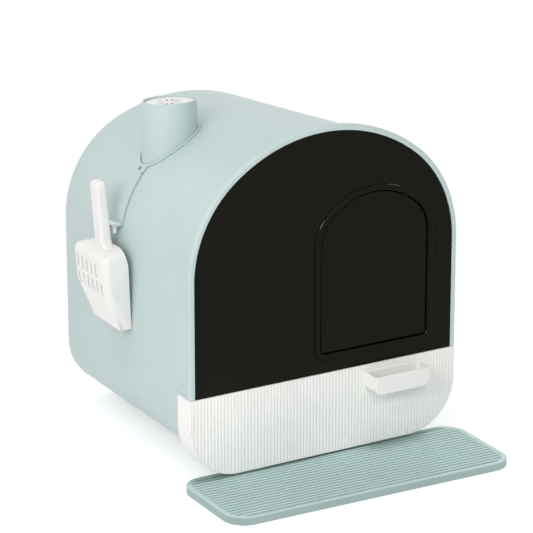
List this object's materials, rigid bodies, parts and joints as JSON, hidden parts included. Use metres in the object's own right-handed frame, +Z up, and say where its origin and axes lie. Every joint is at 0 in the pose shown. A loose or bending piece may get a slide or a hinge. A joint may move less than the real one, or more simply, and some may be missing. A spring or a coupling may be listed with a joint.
{
  "type": "hooded litter box",
  "caption": "Arched hooded litter box with a swing flap in its glossy front, a pull-out ribbed drawer, a filter chimney, a scoop on a side hook and a ribbed mat.",
  "frame": {"origin": "on the floor under the middle of the hood and its front frame, halfway between the frame's face and the rear wall, and midway between the four feet", "axes": "front faces -Y, +X is to the right seen from the front, +Z is up"},
  "size_m": [0.467, 0.5529, 0.489],
  "materials": {
    "mint_plastic": "satin moulded plastic",
    "black_gloss": "high gloss",
    "white_plastic": "satin moulded plastic",
    "mat_plastic": "matte soft plastic",
    "screw_steel": "plated",
    "foot_rubber": "matte",
    "carbon_felt": "felt"
  },
  "bodies": {
    "housing": {"hood_shell": "mint_plastic", "front_frame": "mint_plastic", "front_panel": "black_gloss", "frame_screws": "screw_steel", "feet": "foot_rubber", "drawer_runners": "white_plastic", "vent_chimney": "mint_plastic", "scoop_hanger": "mint_plastic"},
    "drawer": {"drawer_tray": "white_plastic", "drawer_front": "white_plastic", "drawer_pull": "white_plastic", "pull_screws": "screw_steel", "front_screws": "screw_steel"},
    "flap": {"door_flap": "black_gloss", "hinge_pins": "screw_steel"},
    "filter": {"vent_cap": "white_plastic", "filter_basket": "white_plastic", "carbon_pad": "carbon_felt"},
    "scoop": {"scoop": "white_plastic"},
    "mat": {"pedal_mat": "mat_plastic"}
  },
  "joints": [
    {"name": "drawer_slide", "type": "slide", "parent": "housing", "child": "drawer", "axis": [0, -1, 0], "range_m": [0, 0.38]},
    {"name": "flap_swing", "type": "hinge", "parent": "housing", "child": "flap", "pos_m": [0.0784, -0.1999, 0.3683], "axis": [1, 0, 0], "range_deg": [-75, 75]},
    {"name": "cap_lift", "type": "slide", "parent": "housing", "child": "filter", "axis": [0, 0, 1], "range_m": [0, 0.06]},
    {"name": "scoop_lift", "type": "slide", "parent": "housing", "child": "scoop", "axis": [0, 0, 1], "range_m": [0, 0.02]},
    {"name": "mat_slide", "type": "slide", "parent": "housing", "child": "mat", "axis": [0, -1, 0], "range_m": [0, 0.3]}
  ]
}
